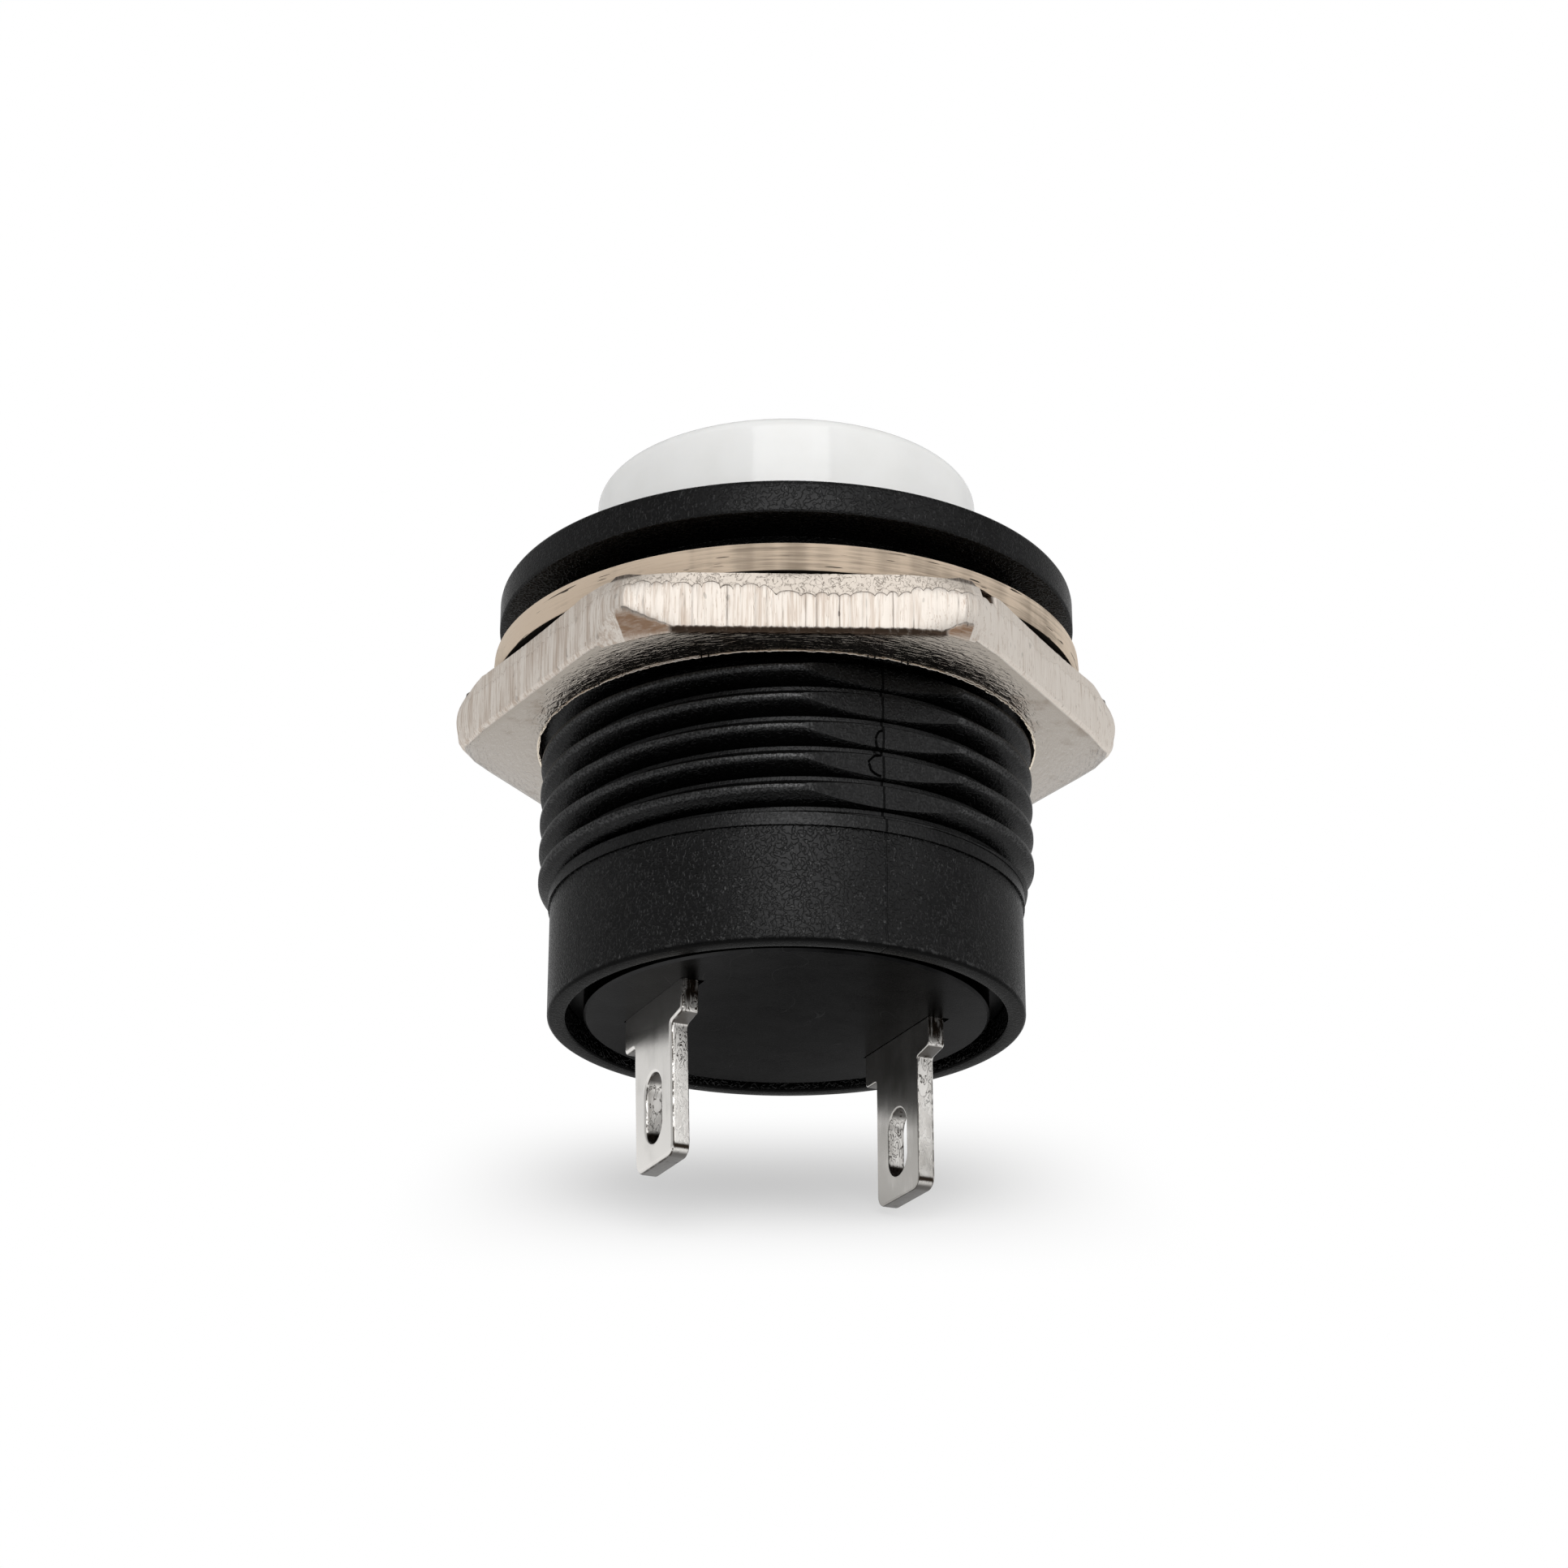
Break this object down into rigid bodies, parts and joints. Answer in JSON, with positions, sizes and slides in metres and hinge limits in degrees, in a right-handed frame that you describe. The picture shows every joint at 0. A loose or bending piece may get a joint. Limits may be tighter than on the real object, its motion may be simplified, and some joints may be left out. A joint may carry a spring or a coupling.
{
  "type": "momentary push button switch",
  "caption": "Round panel push button switch with a flat-topped white cap, flanged black threaded barrel, washer, hex panel nut and slotted solder tabs.",
  "frame": {"origin": "centre of the flange's underside, where the switch sits on the panel", "axes": "+Z out of the panel towards the cap, +X from the left terminal to the right one"},
  "size_m": [0.02, 0.0216, 0.0239],
  "materials": {
    "housing_black": "fine leathery grain, satin",
    "base_black": "smooth satin",
    "cap_white": "glossy, slightly milky",
    "spring_steel": "drawn wire",
    "contact_brass": "stamped sheet",
    "contact_silver": "polished silver",
    "tab_nickel": "bright plating on stamped sheet",
    "washer_nickel": "warm plating with fine turned lines",
    "nut_nickel": "warm plating over stamped flats"
  },
  "bodies": {
    "housing": {"housing": "housing_black", "base_plate": "base_black", "terminal_left": "tab_nickel", "terminal_right": "tab_nickel", "fixed_contact_left": "contact_silver", "fixed_contact_right": "contact_silver", "return_spring": "spring_steel"},
    "button": {"button_cap": "cap_white", "stop_ring": "spring_steel", "disc_clip": "spring_steel", "contact_spring": "spring_steel"},
    "bridge": {"contact_disc": "contact_brass"},
    "washer": {"washer": "washer_nickel"},
    "nut": {"hex_nut": "nut_nickel"}
  },
  "joints": [
    {"name": "button_press", "type": "slide", "parent": "housing", "child": "button", "axis": [0, 0, -1], "range_m": [0, 0.002], "stiffness_N_per_m": 1000, "springref_m": -0.0025, "deforming": ["return_spring", "contact_spring"]},
    {"name": "disc_slide", "type": "slide", "parent": "housing", "child": "bridge", "axis": [0, 0, -1], "range_m": [0, 0.00148]},
    {"name": "washer_slide", "type": "slide", "parent": "housing", "child": "washer", "axis": [0, 0, 1], "range_m": [-0.00705, 0.00112]},
    {"name": "nut_turn", "type": "hinge", "parent": "washer", "child": "nut", "pos_m": [0, 0, 0], "axis": [0, 0, 1], "range_deg": [-2520, 400]}
  ],
  "couplings": [
    {"joint": "disc_slide", "follows": "button_press", "ratio": 0.735},
    {"joint": "washer_slide", "follows": "nut_turn", "m_per_rad": 0.00015915}
  ]
}
